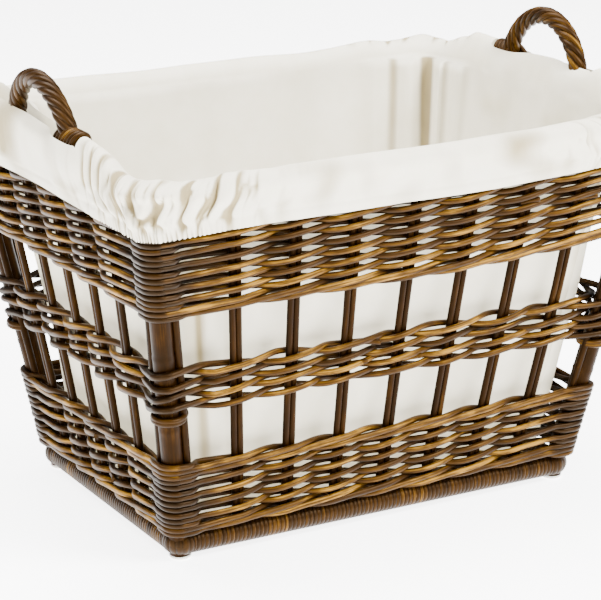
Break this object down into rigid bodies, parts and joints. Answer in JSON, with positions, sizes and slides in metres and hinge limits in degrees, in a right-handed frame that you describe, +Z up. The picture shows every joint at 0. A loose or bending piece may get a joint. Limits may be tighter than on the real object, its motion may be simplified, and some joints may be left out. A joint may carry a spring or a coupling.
{
  "type": "woven laundry basket",
  "caption": "Tapered rectangular rattan laundry basket, woven bands with open windows, corner posts, wrapped base, end handles and a removable cotton liner.",
  "frame": {"origin": "on the floor under the middle of the basket", "axes": "+X along the long side, -Y is the front long wall, +Z up"},
  "size_m": [0.5516, 0.4318, 0.4176],
  "materials": {
    "rattan_pole": "stained rattan pole, satin lacquer",
    "rattan_rod": "stained peeled rattan rod, satin lacquer",
    "woven_rattan": "stained rattan rods, uneven dark and golden brown, satin lacquer",
    "cane_wrap": "rattan pole wrapped closely in cane",
    "cotton_liner": "off-white plain weave cotton, matte",
    "plastic_glide": "milky plastic glide"
  },
  "bodies": {
    "basket": {"corner_post_front_left": "rattan_pole", "side_rod_front_left_long": "rattan_rod", "side_rod_front_left_short": "rattan_rod", "foot_glide_front_left": "plastic_glide", "corner_post_front_right": "rattan_pole", "side_rod_front_right_long": "rattan_rod", "side_rod_front_right_short": "rattan_rod", "foot_glide_front_right": "plastic_glide", "corner_post_back_left": "rattan_pole", "side_rod_back_left_long": "rattan_rod", "side_rod_back_left_short": "rattan_rod", "foot_glide_back_left": "plastic_glide", "corner_post_back_right": "rattan_pole", "side_rod_back_right_long": "rattan_rod", "side_rod_back_right_short": "rattan_rod", "foot_glide_back_right": "plastic_glide", "stake_front_1": "rattan_rod", "stake_front_2": "rattan_rod", "stake_front_3": "rattan_rod", "stake_front_4": "rattan_rod", "stake_front_5": "rattan_rod", "stake_front_6": "rattan_rod", "stake_front_7": "rattan_rod", "stake_back_1": "rattan_rod", "stake_back_2": "rattan_rod", "stake_back_3": "rattan_rod", "stake_back_4": "rattan_rod", "stake_back_5": "rattan_rod", "stake_back_6": "rattan_rod", "stake_back_7": "rattan_rod", "stake_left_1": "rattan_rod", "stake_left_2": "rattan_rod", "stake_left_3": "rattan_rod", "stake_left_4": "rattan_rod", "stake_left_5": "rattan_rod", "stake_right_1": "rattan_rod", "stake_right_2": "rattan_rod", "stake_right_3": "rattan_rod", "stake_right_4": "rattan_rod", "stake_right_5": "rattan_rod", "lower_bottom_wale": "woven_rattan", "lower_weave": "woven_rattan", "lower_top_wale": "woven_rattan", "middle_wale": "woven_rattan", "upper_bottom_wale": "woven_rattan", "upper_weave": "woven_rattan", "top_border": "woven_rattan", "handle_left": "woven_rattan", "handle_right": "woven_rattan", "base_rail_front": "cane_wrap", "base_rail_back": "cane_wrap", "base_rail_left": "cane_wrap", "base_rail_right": "cane_wrap", "floor_panel": "woven_rattan", "floor_crossbar_left": "rattan_pole", "floor_crossbar_right": "rattan_pole"},
    "liner": {"liner_bag": "cotton_liner", "liner_cuff": "cotton_liner", "liner_elastic_hem": "cotton_liner"}
  },
  "joints": [
    {"name": "liner_lift", "type": "slide", "parent": "basket", "child": "liner", "axis": [0, 0, 1], "range_m": [0, 0.4]}
  ]
}
